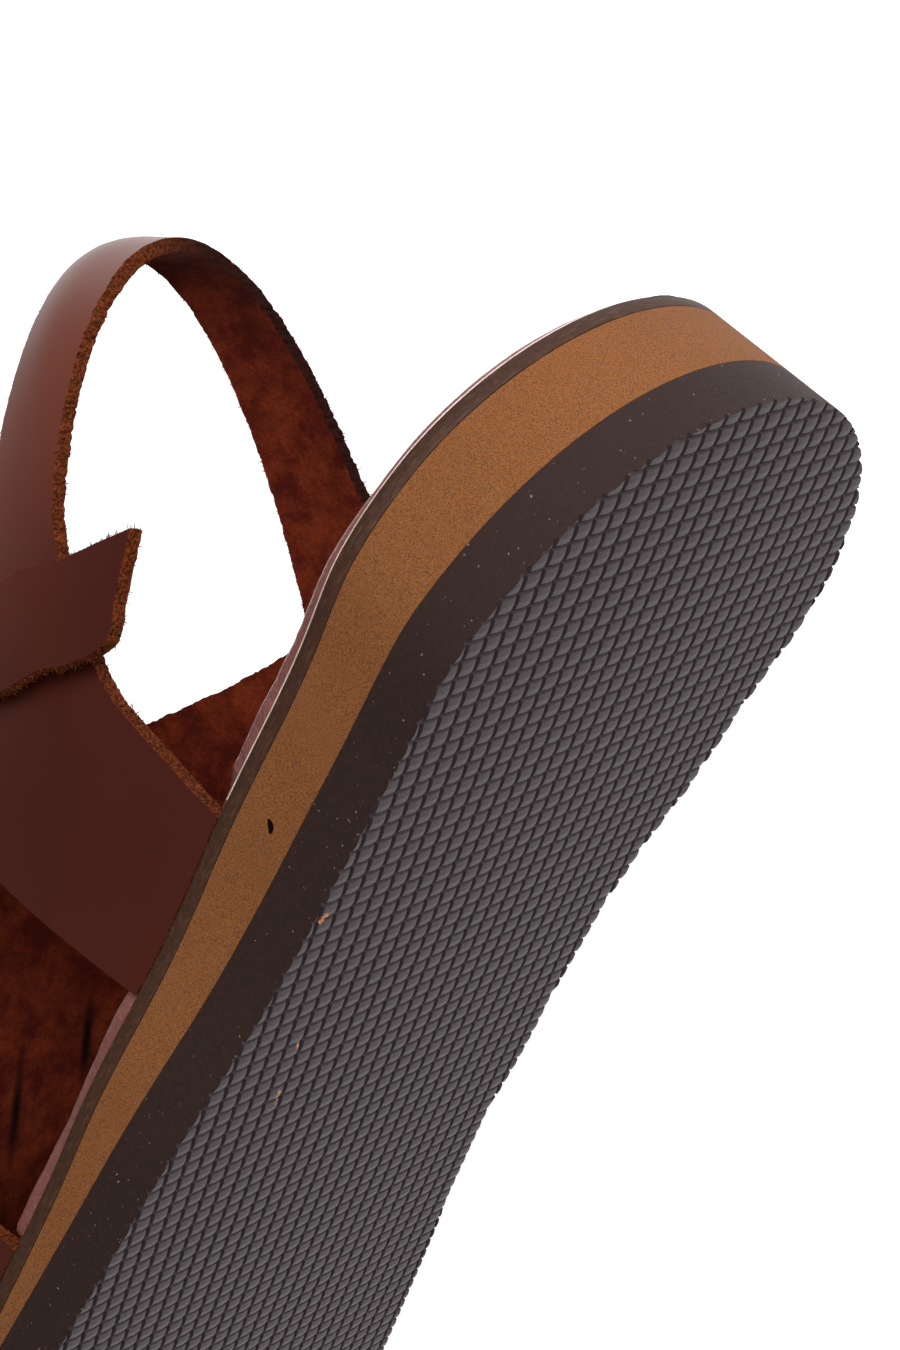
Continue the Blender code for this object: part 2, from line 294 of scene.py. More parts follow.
def finish_piece(piece, slot, *nodes, sharp=SHARP_EDGE):
    """Lays a finished piece where the shoe lies, and ties it to the frame."""
    piece.data.transform(SHOE)
    piece.data.shade_smooth()
    piece.data.set_sharp_from_angle(angle=sharp)
    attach(piece, "root")
    for node in nodes:
        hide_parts(node)


def pad_sheet():
    """The moulded sheet: a lattice of pads below, crowned between V grooves, and a flat top."""
    steps = [0.0, GROOVE_SHARE, 0.5, 1 - GROOVE_SHARE]
    heights = [GROOVE_DEPTH, PAD_CROWN / 2, 0.0, PAD_CROWN / 2]
    columns = math.ceil(SHEET_LENGTH / PAD_PITCH)
    rows = math.ceil(SHEET_WIDTH / PAD_PITCH)
    turn = Matrix.Rotation(PAD_TURN, 3, "Z")

    def place(u, v):
        i, j = round(u * columns * 4), round(v * rows * 4)
        s = i // 4 + steps[i % 4] - columns / 2
        t = j // 4 + steps[j % 4] - rows / 2
        spot = turn @ Vector((s * PAD_PITCH, t * PAD_PITCH * PAD_STRETCH, 0))
        spot.x += LENGTH / 2
        spot.z = tread_height(spot.x) + max(heights[i % 4], heights[j % 4])
        if i % 4 and j % 4:
            spot.z += min(heights[i % 4], heights[j % 4])
        return spot

    def is_spare(face):
        centre = face.calc_center_median()
        along = min(max(centre.x, 0.0), LENGTH)
        if abs(centre.x - along) > PAD_PITCH:
            return True
        middle, half, _ = outline_at(round(along, 5), 0.0)
        return abs(centre.y - middle) > half + SHEET_MARGIN

    bm = bmesh.new()
    place_grid(bm, columns * 4, rows * 4, place)
    bmesh.ops.delete(bm, geom=[face for face in bm.faces if is_spare(face)], context="FACES")
    rim = [edge for edge in bm.edges if edge.is_boundary]
    walls = bmesh.ops.extrude_edge_only(bm, edges=rim)["geom"]
    for vert in [item for item in walls if isinstance(item, bmesh.types.BMVert)]:
        vert.co.z = SHEET_TOP
    top = [item for item in walls if isinstance(item, bmesh.types.BMEdge)]
    bmesh.ops.contextual_create(bm, geom=top)
    bmesh.ops.recalc_face_normals(bm, faces=bm.faces)
    return bm


# Moulded rubber, dusty and slightly shiny: grey over aubergine, with rusty scuffs on the pads
moulded_rubber = new_material("moulded_rubber")
spot = shoe_millimetres(moulded_rubber)
cloud = add_node(moulded_rubber, "TexNoise", {"Vector": spot, "Scale": 0.06, "Detail": 4.0})
dust = add_node(moulded_rubber, "TexNoise", {"Vector": spot, "Scale": 2.5, "Detail": 3.0})
shade = add_node(moulded_rubber, "MixRGB", {
    "Fac": cloud.outputs["Fac"], "Color1": linear("#1c1315"), "Color2": linear("#241a1d"),
})
dusted = add_node(moulded_rubber, "MixRGB", {
    "Fac": dust.outputs["Fac"], "Color1": shade.outputs[0], "Color2": linear("#2b2023"),
})
bump = add_node(moulded_rubber, "Bump", {
    "Height": dust.outputs["Fac"], "Strength": 0.25, "Distance": 0.1 * MM,
})


def patch(look, place, centre, half, turn=0.0, soft=0.5):
    """Share, from 1 at its middle to 0 outside, of an oval patch of a size in millimetres."""
    local = add_node(look, "Mapping", {
        "Vector": place, "Location": centre, "Rotation": (0, 0, turn), "Scale": half,
    }, vector_type="TEXTURE")
    away = add_node(look, "VectorMath", {0: local.outputs[0]}, operation="LENGTH")
    return add_node(look, "MapRange", {
        "Value": away.outputs["Value"], "From Min": soft, "From Max": 1.0, "To Min": 1.0, "To Max": 0.0,
    }).outputs[0]


def rub_on(look, colour, rust, share, flecks, least):
    """Lays a colour over another where a patch and its flecks meet."""
    both = add_node(look, "Math", {0: share, 1: flecks}, operation="MULTIPLY")
    seen = add_node(look, "MapRange", {
        "Value": both.outputs[0], "From Min": least, "From Max": least + 0.1,
    })
    return add_node(look, "MixRGB", {
        "Fac": seen.outputs[0], "Color1": colour, "Color2": linear(rust),
    }).outputs[0]


SCUFFS = [
    # centre, half size, turn
    ((66.6, 34.4, 0), (3.0, 1.4, 3), -0.2),
    ((98.0, 24.6, 0), (5.5, 0.9, 3), -0.3),
    ((89.0, 26.0, 0), (3.0, 0.9, 3), -0.2),
]
flecks = add_node(moulded_rubber, "TexNoise", {
    "Vector": spot, "Scale": 1.6, "Detail": 4.0, "Roughness": 0.7,
})
scuffed = dusted.outputs[0]
for centre, half, turn in SCUFFS:
    share = patch(moulded_rubber, spot, centre, half, turn, 0.2)
    scuffed = rub_on(moulded_rubber, scuffed, "#a06038", share, flecks.outputs["Fac"], 0.42)
shader = add_node(moulded_rubber, "BsdfPrincipled", {
    "Base Color": scuffed, "Roughness": 0.45, "IOR": 1.52, "Normal": bump.outputs[0],
    "Specular IOR Level": 0.15,
})
add_node(moulded_rubber, "OutputMaterial", {"Surface": shader.outputs[0]})

# Cut rubber: matt dark brown with a faint mottle and pale specks of filler
cut_rubber = new_material("cut_rubber")
spot = shoe_millimetres(cut_rubber)
mottle = add_node(cut_rubber, "TexNoise", {
    "Vector": spot, "Scale": 1.2, "Detail": 6.0, "Roughness": 0.7,
})
speck = add_node(cut_rubber, "TexNoise", {"Vector": spot, "Scale": 2.2, "Detail": 1.0})
specks = add_node(cut_rubber, "MapRange", {
    "Value": speck.outputs["Fac"], "From Min": 0.74, "From Max": 0.80,
})
shade = add_node(cut_rubber, "MixRGB", {
    "Fac": mottle.outputs["Fac"], "Color1": linear("#160b08"), "Color2": linear("#2b1914"),
})
flecked = add_node(cut_rubber, "MixRGB", {
    "Fac": specks.outputs[0], "Color1": shade.outputs[0], "Color2": linear("#7b625a"),
})
bump = add_node(cut_rubber, "Bump", {
    "Height": mottle.outputs["Fac"], "Strength": 0.6, "Distance": 0.2 * MM,
})
shader = add_node(cut_rubber, "BsdfPrincipled", {
    "Base Color": flecked.outputs[0], "Roughness": 0.78, "IOR": 1.45, "Normal": bump.outputs[0],
    "Specular IOR Level": 0.25,
})
add_node(cut_rubber, "OutputMaterial", {"Surface": shader.outputs[0]})

outsole = object_from(pad_sheet(), "outsole_sheet", [moulded_rubber])
outline_solid = sole_solid(lambda x: -KNIFE_DEPTH, outsole_top)
outline_knife = object_from(outline_solid, "outline_knife", [cut_rubber])
cut_to(outsole, outline_knife)
finish_piece(outsole, "outsole_rubber", "outsole", sharp=PAD_EDGE)

# Heel wedge
# A slab of tan foam, thick at the heel and tapering to a thin sheet at the toe, buffed flush
# with the outsole. Its wall shows the fine open grain of the foam and one larger pore.
WEDGE_HEEL_THICKNESS = 10.6 * MM
GLUE_LINE = 0.06 * MM
WEDGE = [
    # along, thickness: shares of the length and of the thickness at the heel
    (0.000, 1.00),
    (0.065, 0.99),
    (0.118, 0.89),
    (0.164, 0.79),
    (0.256, 0.76),
    (0.298, 0.68),
    (0.340, 0.59),
    (0.408, 0.47),
    (0.462, 0.34),
    (0.550, 0.21),
    (0.650, 0.14),
    (1.000, 0.12),
]


def wedge_top(x):
    return outsole_top(x) + hermite(WEDGE, 1, x / LENGTH) * WEDGE_HEEL_THICKNESS


# Buffed foam: warm tan, matt, with a sandy grain of dark open cells under half a millimetre
tan_foam = new_material("tan_foam")
spot = shoe_millimetres(tan_foam)
grain = add_node(tan_foam, "TexNoise", {"Vector": spot, "Scale": 7.0, "Detail": 2.0, "Roughness": 0.75})
cloud = add_node(tan_foam, "TexNoise", {"Vector": spot, "Scale": 0.08, "Detail": 4.0})
cells = add_node(tan_foam, "TexNoise", {"Vector": spot, "Scale": 3.8, "Detail": 1.0})
open_cells = add_node(tan_foam, "MapRange", {
    "Value": cells.outputs["Fac"], "From Min": 0.66, "From Max": 0.74,
})
shade = add_node(tan_foam, "MixRGB", {
    "Fac": cloud.outputs["Fac"], "Color1": linear("#774721"), "Color2": linear("#86532a"),
})
sharp_grain = add_node(tan_foam, "MapRange", {
    "Value": grain.outputs["Fac"], "From Min": 0.36, "From Max": 0.56,
})
grained = add_node(tan_foam, "MixRGB", {
    "Fac": sharp_grain.outputs[0], "Color1": linear("#4a2b14"), "Color2": shade.outputs[0],
})
pored = add_node(tan_foam, "MixRGB", {
    "Fac": open_cells.outputs[0], "Color1": grained.outputs[0], "Color2": linear("#54341c"),
})
bump = add_node(tan_foam, "Bump", {
    "Height": grain.outputs["Fac"], "Strength": 0.8, "Distance": 0.25 * MM,
})
shader = add_node(tan_foam, "BsdfPrincipled", {
    "Base Color": pored.outputs[0], "Roughness": 0.85, "IOR": 1.4, "Normal": bump.outputs[0],
    "Specular IOR Level": 0.3,
})
add_node(tan_foam, "OutputMaterial", {"Surface": shader.outputs[0]})

# Inside of the pore: the same foam in deep shade
pore_foam = new_material("pore_foam")
spot = shoe_millimetres(pore_foam)
rough = add_node(pore_foam, "TexNoise", {"Vector": spot, "Scale": 3.0, "Detail": 3.0})
shade = add_node(pore_foam, "MixRGB", {
    "Fac": rough.outputs["Fac"], "Color1": linear("#040202"), "Color2": linear("#1c100a"),
})
shader = add_node(pore_foam, "BsdfPrincipled", {
    "Base Color": shade.outputs[0], "Roughness": 0.95, "Specular IOR Level": 0.0,
})
add_node(pore_foam, "OutputMaterial", {"Surface": shader.outputs[0]})

PORE_HALF = Vector((0.46, 1.6, 0.85)) * MM
PORE_PLACE = Vector((62.5, 35.8, 10.9)) * MM
PORE_LEAN = math.radians(-51)
PORE_BEND = 0.35
PORE_UNEVEN = 0.18


def pore_drill():
    """A small bean-shaped hole in the lateral wall, leaning along the sole."""
    bm = bmesh.new()
    bmesh.ops.create_icosphere(bm, subdivisions=3, radius=1.0)
    for vert in bm.verts:
        vert.co *= 1 + PORE_UNEVEN * noise.noise(vert.co * 1.7)
        vert.co.x += PORE_BEND * vert.co.z ** 2
    bmesh.ops.scale(bm, verts=bm.verts, vec=PORE_HALF)
    bmesh.ops.rotate(bm, verts=bm.verts, matrix=Matrix.Rotation(PORE_LEAN, 3, "Y"))
    bmesh.ops.translate(bm, verts=bm.verts, vec=PORE_PLACE)
    return object_from(bm, "pore_drill", [pore_foam])


slab = sole_solid(lambda x: outsole_top(x) + GLUE_LINE, wedge_top)
wedge = object_from(slab, "foam_wedge", [tan_foam])
cut_to(wedge, pore_drill(), "DIFFERENCE")
finish_piece(wedge, "wedge_foam", "heel_wedge")

# Midsole
# A thin board of pressed leather fibre over the foam, trimmed with the rest of the sole: olive
# brown, with fine scratches along its wall from the trimming wheel.
MIDSOLE_THICKNESS = 2.2 * MM
BOARD_ROUND = 0.25 * MM


def sole_top(x):
    return wedge_top(x) + MIDSOLE_THICKNESS


pressed_board = new_material("pressed_board")
spot = shoe_millimetres(pressed_board)
long_spot = shoe_millimetres(pressed_board, (5, 5, 1))
scratch = add_node(pressed_board, "TexNoise", {"Vector": long_spot, "Scale": 3.0, "Detail": 6.0})
mottle = add_node(pressed_board, "TexNoise", {
    "Vector": spot, "Scale": 1.6, "Detail": 6.0, "Roughness": 0.7,
})
shade = add_node(pressed_board, "MixRGB", {
    "Fac": mottle.outputs["Fac"], "Color1": linear("#1c0f0a"), "Color2": linear("#422a1e"),
})
lines = add_node(pressed_board, "MapRange", {
    "Value": scratch.outputs["Fac"], "From Min": 0.52, "From Max": 0.75, "To Max": 0.45,
})
scratched = add_node(pressed_board, "MixRGB", {
    "Fac": lines.outputs[0], "Color1": shade.outputs[0], "Color2": linear("#583d2d"),
})
bump = add_node(pressed_board, "Bump", {
    "Height": scratch.outputs["Fac"], "Strength": 0.5, "Distance": 0.15 * MM,
})
shader = add_node(pressed_board, "BsdfPrincipled", {
    "Base Color": scratched.outputs[0], "Roughness": 0.6, "IOR": 1.5, "Normal": bump.outputs[0],
    "Specular IOR Level": 0.15,
})
add_node(pressed_board, "OutputMaterial", {"Surface": shader.outputs[0]})


def rounded(bm, radius, segments=2):
    """Rounds off a closed layer's long edges."""
    edges = [edge for edge in bm.edges if edge.calc_face_angle(0) > SHARP_EDGE]
    bmesh.ops.bevel(
        bm, geom=edges, offset=radius, affect="EDGES", segments=segments, profile=0.5, material=-1
    )
    return bm


board = rounded(sole_solid(lambda x: wedge_top(x) + 2 * GLUE_LINE, sole_top), BOARD_ROUND)
midsole = object_from(board, "midsole_board", [pressed_board])
finish_piece(midsole, "midsole_board", "midsole")

# Footbed
# A soft board wrapped in thin red-brown leather, which is pulled round its edge and so lies in
# small creases there, with a shine along the rolled edge.
FOOTBED_THICKNESS = 2.8 * MM
LEATHER = 1.9 * MM
BAND_SET_IN = 0.3 * MM
FOOTBED_CLEARANCE = 0.8 * MM
FOOTBED_INSET = BAND_SET_IN + LEATHER + FOOTBED_CLEARANCE
FOOTBED_ROUND = 0.9 * MM
FOOTBED_STATIONS = 420
BULGE = 1.7 * MM
BULGE_POWER = 12
WAVES = (0.16, 220)
RIPPLES = (0.10, 900)
BULGES = [
    # along, share: where no leather stands beside the footbed, its edge bulges outwards
    (0.00, 0.35),
    (0.08, 0.55),
    (0.20, 0.95),
    (0.235, 0.85),
    (0.252, 0.0),
    (0.345, 0.0),
    (0.362, 1.0),
    (0.420, 0.60),
    (0.480, 1.05),
    (0.498, 1.05),
    (0.508, 0.0),
    (1.00, 0.0),
]


def footbed_top(x):
    return sole_top(x) + FOOTBED_THICKNESS


wrapped_leather = new_material("wrapped_leather")
spot = shoe_millimetres(wrapped_leather)
crease = add_node(wrapped_leather, "TexNoise", {
    "Vector": spot, "Scale": 0.9, "Detail": 6.0, "Distortion": 0.8,
})
cloud = add_node(wrapped_leather, "TexNoise", {"Vector": spot, "Scale": 0.1, "Detail": 3.0})
shade = add_node(wrapped_leather, "MixRGB", {
    "Fac": crease.outputs["Fac"], "Color1": linear("#44201b"), "Color2": linear("#84564f"),
})
clouded = add_node(wrapped_leather, "MixRGB", {
    "Fac": cloud.outputs["Fac"], "Color1": shade.outputs[0], "Color2": linear("#683c36"),
})
bump = add_node(wrapped_leather, "Bump", {
    "Height": crease.outputs["Fac"], "Strength": 0.9, "Distance": 0.4 * MM,
})
shader = add_node(wrapped_leather, "BsdfPrincipled", {
    "Base Color": clouded.outputs[0], "Roughness": 0.3, "IOR": 1.5, "Normal": bump.outputs[0],
})
add_node(wrapped_leather, "OutputMaterial", {"Surface": shader.outputs[0]})


def bulge_edge(bm):
    """Lets the footbed's edge out between the straps, in the small folds of a pulled wrap."""
    heel = HEEL_ROUND * LENGTH
    for vert in bm.verts:
        middle, half, _ = outline_at(round(max(vert.co.x, heel), 5), FOOTBED_INSET)
        from_middle = Vector((min(vert.co.x - heel, 0.0), vert.co.y - middle, 0))
        share = min(from_middle.length / max(half, MM), 1.0) ** BULGE_POWER
        folds = 1 + sum(depth * noise.noise(vert.co * pitch) for depth, pitch in (WAVES, RIPPLES))
        push = BULGE * hermite(BULGES, 1, vert.co.x / LENGTH) * share * folds
        vert.co += from_middle.normalized() * push
    return bm


bed = sole_solid(lambda x: sole_top(x) + GLUE_LINE, footbed_top, FOOTBED_INSET, FOOTBED_STATIONS)
bed = bulge_edge(rounded(bed, FOOTBED_ROUND, 4))
footbed = object_from(bed, "footbed_cover", [wrapped_leather])
finish_piece(footbed, "footbed_leather", "footbed")

# Wrap fold
# The lower edge of the footbed's leather, pressed down on the board in a thin folded line that is
# shiny and painted pale as a painted highlight. It shows behind the lateral band, where no strap covers
# it.
FOLD_RADIUS = 0.2 * MM
FOLD_SET_IN = 0.55 * MM
FOLD_END = 0.247
FOLD_POINTS = 90

painted_highlight_leather = new_material("painted_highlight_leather")
spot = shoe_millimetres(painted_highlight_leather)
highlight_mottle = add_node(painted_highlight_leather, "TexNoise", {"Vector": spot, "Scale": 0.7, "Detail": 4.0})
# Pale, almost white colour: a painted highlight along the fold
shade = add_node(painted_highlight_leather, "MixRGB", {
    "Fac": highlight_mottle.outputs["Fac"], "Color1": linear("#8d6a62"), "Color2": linear("#e2d3cc"),
})
shader = add_node(painted_highlight_leather, "BsdfPrincipled", {
    "Base Color": shade.outputs[0], "Roughness": 0.25, "IOR": 1.5,
})
add_node(painted_highlight_leather, "OutputMaterial", {"Surface": shader.outputs[0]})


def fold_path():
    """Points round the heel, from the lateral band to the medial band."""
    points = []
    for k in range(-FOLD_POINTS, FOLD_POINTS + 1):
        turn = k / FOLD_POINTS
        x = FOLD_SET_IN + (FOLD_END * LENGTH - FOLD_SET_IN) * (1 - math.cos(math.pi / 2 * turn))
        lateral, medial = sole_sides(x, sole_top(x), FOLD_SET_IN)
        points.append(Vector((x, lateral if turn > 0 else medial, sole_top(x) + FOLD_RADIUS)))
    points[FOLD_POINTS].y = (points[FOLD_POINTS - 1].y + points[FOLD_POINTS + 1].y) / 2
    return points


line = bpy.data.curves.new("wrap_fold", "CURVE")
line.dimensions = "3D"
line.bevel_depth = FOLD_RADIUS
line.bevel_resolution = 2
line.use_fill_caps = True
track = fold_path()
spline = line.splines.new("POLY")
spline.points.add(len(track) - 1)
for knot, point in zip(spline.points, track):
    knot.co = (*point, 1)
line.materials.append(painted_highlight_leather)
fold = bpy.data.objects.new("wrap_fold", line)
bpy.context.scene.collection.objects.link(fold)
fold_mesh = bpy.data.meshes.new_from_object(fold.evaluated_get(bpy.context.evaluated_depsgraph_get()))
bpy.data.objects.remove(fold)
fold = bpy.data.objects.new("wrap_fold", fold_mesh)
bpy.context.scene.collection.objects.link(fold)
finish_piece(fold, "footbed_leather")

# Upper
# One piece of thick vegetable-tanned leather from the vamp over the instep and round the heel,
# smooth outside and rough inside, cut to its pattern with raw edges and set in along the sole.
UPPER_HEIGHT = 51.5 * MM
HINGE_ALONG = 0.405
HINGE_DEPTH = 10 * MM
PIECE_GAP = 0.3 * MM
FOREFOOT_FULLNESS = 1.2
FULLEST_FAN = 30
PLAINEST_FAN = 100
MEDIAL_BULGE = 0.100
BULGE_FAN = 90
BULGE_RISE = 0.45
WALL_RISE = 0.7
ARC_STEP = math.radians(4)
CORNER_REACH = 0.48
RAW_STEP = 0.35 * MM
RAW_JAG = 0.30 * MM
TEARS = (0.6, 700)
FINE_TEARS = (0.8, 2100)
FRAY_DEPTH = 0.35 * MM
SHELL_COLUMNS = 150
SHELL_ROWS = 120
FLESH_SIDE = 1
RAW_EDGE = 2
FIBRES_PER_SQUARE_METRE = 3.2e6
FIBRE_LENGTHS = (0.35, 0.95)
FIBRE_ROOT = 0.09 * MM
FIBRE_TIP = 0.03 * MM
SMOOTH_CUT = (0.33, 0.45)
ROOF = [
    # along, height: top line in side view, from the toes over the shin to the heel strap
    (0.838, 0.20),
    (0.786, 0.40),
    (0.729, 0.54),
    (0.653, 0.69),
    (0.576, 0.84),
    (0.500, 1.00),
    (0.458, 1.11),
    (0.416, 1.27),
    (0.370, 1.46),
    (0.305, 1.64),
    (0.237, 1.67),
    (0.162, 1.55),
    (0.132, 1.33),
    (0.095, 1.14),
    (0.053, 0.89),
    (0.015, 0.58),
]
PATTERN = [
    # along, height, radius, raggedness: corners of the cut pattern in side view
    (0.253, -0.40, 0.00, 0.6),
    (0.262, 0.46, 0.35, 1.0),
    (0.233, 0.86, 0.45, 1.5),
    (0.075, 1.66, 0.00, 0.5),
    (0.120, 1.715, 0.00, 0.8),
    (0.321, 0.865, 0.11, 0.8),
    (0.490, 1.36, 0.00, 0.5),
    (0.860, 1.36, 0.00, 0.5),
    (0.815, 0.60, 0.00, 0.5),
    (0.757, 0.15, 0.10, 0.3),
    (0.748, -0.40, 0.00, 0.3),
    (0.483, -0.40, 0.00, 0.8),
    (0.541, 0.72, 0.17, 0.4),
    (0.391, 0.85, 0.17, 0.15),
    (0.336, -0.40, 0.00, 0.0),
]


def ease(t):
    t = min(max(t, 0.0), 1.0)
    return t * t * (3 - 2 * t)


def side_point(along, height):
    """A point in side view from its shares of the length and of the upper's height."""
    x = along * LENGTH
    return x, sole_top(x) + height * UPPER_HEIGHT


def fan_of(x, z):
    """Angle and distance of a point in side view from the hinge line of the fan."""
    ahead = x - HINGE_ALONG * LENGTH
    above = z + HINGE_DEPTH
    return math.atan2(above, ahead), math.hypot(above, ahead)


ROOF_FAN = [fan_of(*side_point(along, height)) for along, height in ROOF]


@functools.lru_cache(None)
def fan_ray(fan):
    """Reach of the leather's foot and of its roof along a ray of the fan."""
    across = HINGE_ALONG * LENGTH
    near, far = 0.0, 2 * LENGTH
    for _ in range(40):
        middle = (near + far) / 2
        x = across + middle * math.cos(fan)
        z = middle * math.sin(fan) - HINGE_DEPTH
        if z < sole_top(x) + PIECE_GAP and abs(x - across) < LENGTH:
            near = middle
        else:
            far = middle
    x = across + near * math.cos(fan)
    return near, hermite(ROOF_FAN, 1, fan), sole_sides(x, sole_top(x))


def last_point(fan, around, lift=0.0):
    """Point on the outside of the leather; around runs from the lateral to the medial edge."""
    foot, reach, at_foot = fan_ray(fan)
    degrees = math.degrees(fan)
    plainness = ease((degrees - FULLEST_FAN) / (PLAINEST_FAN - FULLEST_FAN))
    power = 2 / (2 + FOREFOOT_FULLNESS * (1 - plainness))
    share = abs(math.sin(around)) ** power
    side = math.copysign(abs(math.cos(around)) ** power, math.cos(around))
    rho = foot + (reach + lift - foot) * share
    x = HINGE_ALONG * LENGTH + rho * math.cos(fan)
    at_point = sole_sides(x, sole_top(x))
    rise = ease(share / WALL_RISE)
    lateral = at_point[0] + (at_foot[0] - at_point[0]) * rise - BAND_SET_IN
    medial = at_point[1] + (at_foot[1] - at_point[1]) * rise + BAND_SET_IN
    if around <= math.pi / 2:
        half = lateral + lift
    else:
        swell = ease(degrees / BULGE_FAN) * ease(share / BULGE_RISE) * MEDIAL_BULGE * BALL_WIDTH
        half = -medial + swell + lift
    return Vector((x, half * side, rho * math.sin(fan) - HINGE_DEPTH))


def round_corners(corners):
    """Outline through corners (x, z, radius, raggedness), with an arc at each that has a radius."""
    outline = []
    count = len(corners)
    for i, (x, z, radius, rough) in enumerate(corners):
        corner = Vector((x, z))
        if radius <= 0:
            outline.append((corner, rough))
            continue
        back = Vector(corners[i - 1][:2]) - corner
        ahead = Vector(corners[(i + 1) % count][:2]) - corner
        half = back.angle(ahead) / 2
        cut = radius / math.tan(half)
        cut = min(cut, CORNER_REACH * back.length, CORNER_REACH * ahead.length)
        radius = cut * math.tan(half)
        inward = (back.normalized() + ahead.normalized()).normalized()
        middle = corner + inward * radius / math.sin(half)
        start = corner + back.normalized() * cut - middle
        sweep = start.angle_signed(corner + ahead.normalized() * cut - middle)
        steps = max(2, math.ceil(abs(sweep) / ARC_STEP))
        for k in range(steps + 1):
            outline.append((middle + Matrix.Rotation(-sweep * k / steps, 2) @ start, rough))
    return outline


def torn(point):
    """How far a cut through leather fibre strays at a point, from -1 to 1."""
    return sum(depth * noise.noise(point * pitch) for depth, pitch in (TEARS, FINE_TEARS))


def knife_cut(outline):
    """The outline with a point at every small step, each a little off where the cut is ragged."""
    points = []
    for k, (start, rough) in enumerate(outline):
        end = outline[(k + 1) % len(outline)][0]
        across = (end - start).orthogonal().normalized()
        steps = max(1, round((end - start).length / RAW_STEP))
        for i in range(steps):
            point = start.lerp(end, i / steps)
            points.append(point + across * RAW_JAG * rough * torn(point.to_3d()))
    return points


def pattern_knife(look):
    corners = [(*side_point(row[0], row[1]), row[2] * UPPER_HEIGHT, row[3]) for row in PATTERN]
    bm = bmesh.new()
    verts = [bm.verts.new((p.x, -BALL_WIDTH, p.y)) for p in knife_cut(round_corners(corners))]
    face = bm.faces.new(verts)
    pushed = bmesh.ops.extrude_face_region(bm, geom=[face])
    moved = [item for item in pushed["geom"] if isinstance(item, bmesh.types.BMVert)]
    bmesh.ops.translate(bm, verts=moved, vec=(0, 2 * BALL_WIDTH, 0))
    bmesh.ops.recalc_face_normals(bm, faces=bm.faces)
    return object_from(bm, "pattern_knife", [look])


def thick_leather(bm, name, looks):
    """Leather of full thickness under an open sheet: looks are outside, flesh side and edge."""
    inside = Vector((HINGE_ALONG * LENGTH, 0, sole_top(HINGE_ALONG * LENGTH)))
    bm.normal_update()
    if sum(face.normal.dot(face.calc_center_median() - inside) for face in bm.faces) < 0:
        bmesh.ops.reverse_faces(bm, faces=bm.faces)
    sheet = object_from(bm, name, looks)
    wall = sheet.modifiers.new("leather", "SOLIDIFY")
    wall.thickness = LEATHER
    wall.offset = -1
    wall.material_offset = FLESH_SIDE
    wall.material_offset_rim = RAW_EDGE
    apply_modifiers(sheet)
    return sheet


def fray(piece):
    """Roughens the cut faces of a leather piece."""
    bm = bmesh.new()
    bm.from_mesh(piece.data)
    across = [
        edge for edge in bm.edges
        if len(edge.link_faces) == 2 and edge.calc_length() > 0.8 * LEATHER
        and all(face.material_index == RAW_EDGE for face in edge.link_faces)
    ]
    bmesh.ops.subdivide_edges(bm, edges=across, cuts=3, use_grid_fill=True)
    bm.normal_update()
    for vert in bm.verts:
        if vert.link_faces and all(face.material_index == RAW_EDGE for face in vert.link_faces):
            vert.co += vert.normal * FRAY_DEPTH * torn(vert.co)
    bm.to_mesh(piece.data)
    bm.free()


def grow_fibres(piece, name, seed, smooth=None):
    """Loose fibre ends on a piece's cut faces, except along a smoothly cut stretch."""
    draw = random.Random(seed)
    bm = bmesh.new()
    for face in piece.data.polygons:
        centre = face.center
        if face.material_index != RAW_EDGE or centre.z < sole_top(centre.x) + MM:
            continue
        if smooth and smooth[0] < centre.x / LENGTH < smooth[1]:
            continue
        if draw.random() > face.area * FIBRES_PER_SQUARE_METRE:
            continue
        lean = Vector([draw.gauss(0, 0.7) for _ in range(3)])
        out = (face.normal + lean).normalized()
        length = draw.uniform(*FIBRE_LENGTHS) * MM
        turn = out.to_track_quat("Z", "Y").to_matrix().to_4x4()
        bmesh.ops.create_cone(
            bm, segments=3, radius1=FIBRE_ROOT, radius2=FIBRE_TIP, depth=length, cap_ends=True,
            matrix=Matrix.Translation(centre + out * length * 0.3) @ turn,
        )
    return object_from(bm, name, [raw_edge])


# Smooth grain side: satin red-brown leather, faintly clouded, with painted shade that darkens it
# towards the sole
grain_side = new_material("grain_side")
spot = shoe_millimetres(grain_side)
cloud = add_node(grain_side, "TexNoise", {"Vector": spot, "Scale": 0.05, "Detail": 4.0})
grain = add_node(grain_side, "TexNoise", {"Vector": spot, "Scale": 2.8, "Detail": 3.0})
shade = add_node(grain_side, "MixRGB", {
    "Fac": cloud.outputs["Fac"], "Color1": linear("#33100a"), "Color2": linear("#3f160e"),
})
# Painted shade: the colour darkens from 85 mm above the tread down to 45 mm
height = add_node(grain_side, "SeparateXYZ", {0: spot})
painted_sole_shade = add_node(grain_side, "MapRange", {
    "Value": height.outputs["Z"], "From Min": 45.0, "From Max": 85.0,
}, interpolation_type="SMOOTHSTEP")
toned = add_node(grain_side, "MixRGB", {
    "Fac": painted_sole_shade.outputs[0], "Color1": shade.outputs[0], "Color2": linear("#5a2d22"),
})
bump = add_node(grain_side, "Bump", {
    "Height": grain.outputs["Fac"], "Strength": 0.12, "Distance": 0.1 * MM,
})
shader = add_node(grain_side, "BsdfPrincipled", {
    "Base Color": toned.outputs[0], "Roughness": 0.36, "IOR": 1.48, "Normal": bump.outputs[0],
    "Specular IOR Level": 0.22,
})
add_node(grain_side, "OutputMaterial", {"Surface": shader.outputs[0]})
